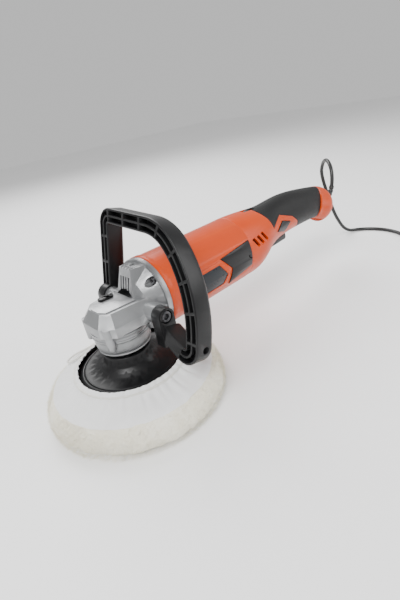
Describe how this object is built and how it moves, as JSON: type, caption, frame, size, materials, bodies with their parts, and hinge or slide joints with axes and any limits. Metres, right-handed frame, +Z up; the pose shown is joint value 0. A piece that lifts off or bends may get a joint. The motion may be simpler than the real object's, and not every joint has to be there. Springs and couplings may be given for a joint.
{
  "type": "rotary polisher",
  "caption": "Corded rotary polisher: alloy angle gear head with D-handle, wool bonnet on a rubber pad, orange motor housing, gripped tail handle and speed dial.",
  "frame": {"origin": "centre of the bonnet working face, on the spindle axis", "axes": "+Z up along the spindle, +X towards the tail handle, -Y the machine's left"},
  "size_m": [0.718, 0.3008, 0.1881],
  "materials": {
    "pad_rubber": "satin moulded",
    "wool": "matte pile",
    "string": "braided",
    "machined_steel": "ground",
    "bearing_steel": "polished",
    "felt": "matte",
    "bronze": "turned",
    "cast_alloy": "painted casting",
    "fastener_steel": "zinc",
    "lamination": "dull",
    "copper": "lacquered",
    "carbon": "matte",
    "spring_steel": "bright",
    "inner_plastic": "matte",
    "orange_shell": "satin",
    "black_plastic": "satin",
    "label": "satin",
    "grip_rubber": "soft matte",
    "cord_rubber": "satin",
    "pin_metal": "plated"
  },
  "bodies": {
    "housing": {"trigger_pin": "machined_steel", "spindle_bearing": "bearing_steel", "front_bearing": "bearing_steel", "rear_bearing": "bearing_steel", "spindle_seal": "felt", "spindle_bush": "bronze", "brush_holders": "bronze", "gear_case": "cast_alloy", "bearing_cover": "cast_alloy", "cover_screws": "fastener_steel", "flange_screws": "fastener_steel", "body_screws": "fastener_steel", "clamp_screws": "fastener_steel", "handle_bolts": "fastener_steel", "handle_washers": "fastener_steel", "stator_core": "lamination", "field_coils": "copper", "carbon_brushes": "carbon", "brush_springs": "spring_steel", "trigger_spring": "spring_steel", "air_baffle": "inner_plastic", "switch_body": "inner_plastic", "speed_module": "inner_plastic", "cord_clamp": "inner_plastic", "motor_housing": "orange_shell", "rear_body_left": "orange_shell", "rear_body_right": "orange_shell", "end_cap": "orange_shell", "brush_covers": "black_plastic", "d_handle": "black_plastic", "label_plates": "label", "grip_left": "grip_rubber", "grip_right": "grip_rubber", "strain_relief": "cord_rubber", "cord_tube": "cord_rubber", "cord_coil": "cord_rubber", "plug_body": "cord_rubber", "plug_pins": "pin_metal"},
    "spindle_set": {"spindle": "machined_steel", "spindle_gear": "machined_steel", "spindle_bearing_inner": "bearing_steel", "backing_pad": "pad_rubber", "pad_nut": "machined_steel", "bonnet": "wool", "drawstring": "string", "drawstring_bow": "string"},
    "armature": {"armature_shaft": "machined_steel", "pinion": "machined_steel", "front_bearing_inner": "bearing_steel", "rear_bearing_inner": "bearing_steel", "armature_core": "lamination", "armature_windings": "copper", "commutator": "copper", "cooling_fan": "inner_plastic"},
    "trigger": {"trigger": "black_plastic"},
    "plunger": {"switch_plunger": "inner_plastic"},
    "lock_on": {"lock_on_button": "black_plastic"},
    "spindle_lock": {"spindle_lock_button": "black_plastic", "spindle_lock_pin": "machined_steel"},
    "dial": {"speed_dial": "black_plastic"}
  },
  "joints": [
    {"name": "spindle_spin", "type": "hinge", "parent": "housing", "child": "spindle_set", "pos_m": [0, 0, 0], "axis": [0, 0, 1], "continuous": true},
    {"name": "armature_spin", "type": "hinge", "parent": "housing", "child": "armature", "pos_m": [0, 0, 0.102], "axis": [1, 0, 0], "continuous": true},
    {"name": "trigger_press", "type": "hinge", "parent": "housing", "child": "trigger", "pos_m": [0.232, 0, 0.0875], "axis": [0, -1, 0], "range_deg": [0, 7], "stiffness_Nm_per_rad": 2, "springref_deg": -5.73, "deforming": ["trigger_spring"]},
    {"name": "plunger_slide", "type": "slide", "parent": "housing", "child": "plunger", "axis": [0, 0, 1], "range_m": [0, 0.0029]},
    {"name": "lock_on_press", "type": "slide", "parent": "housing", "child": "lock_on", "axis": [0, 1, 0], "range_m": [0, 0.003], "stiffness_N_per_m": 700, "springref_m": -0.001},
    {"name": "spindle_lock_press", "type": "slide", "parent": "housing", "child": "spindle_lock", "axis": [0, 0, -1], "range_m": [0, 0.003], "stiffness_N_per_m": 1200, "springref_m": -0.001},
    {"name": "dial_turn", "type": "hinge", "parent": "housing", "child": "dial", "pos_m": [0.209, 0, 0.1285], "axis": [0, 1, 0], "range_deg": [-130, 130]}
  ],
  "couplings": [
    {"joint": "armature_spin", "follows": "spindle_spin", "ratio": 4},
    {"joint": "plunger_slide", "follows": "trigger_press", "m_per_rad": 0.023}
  ]
}
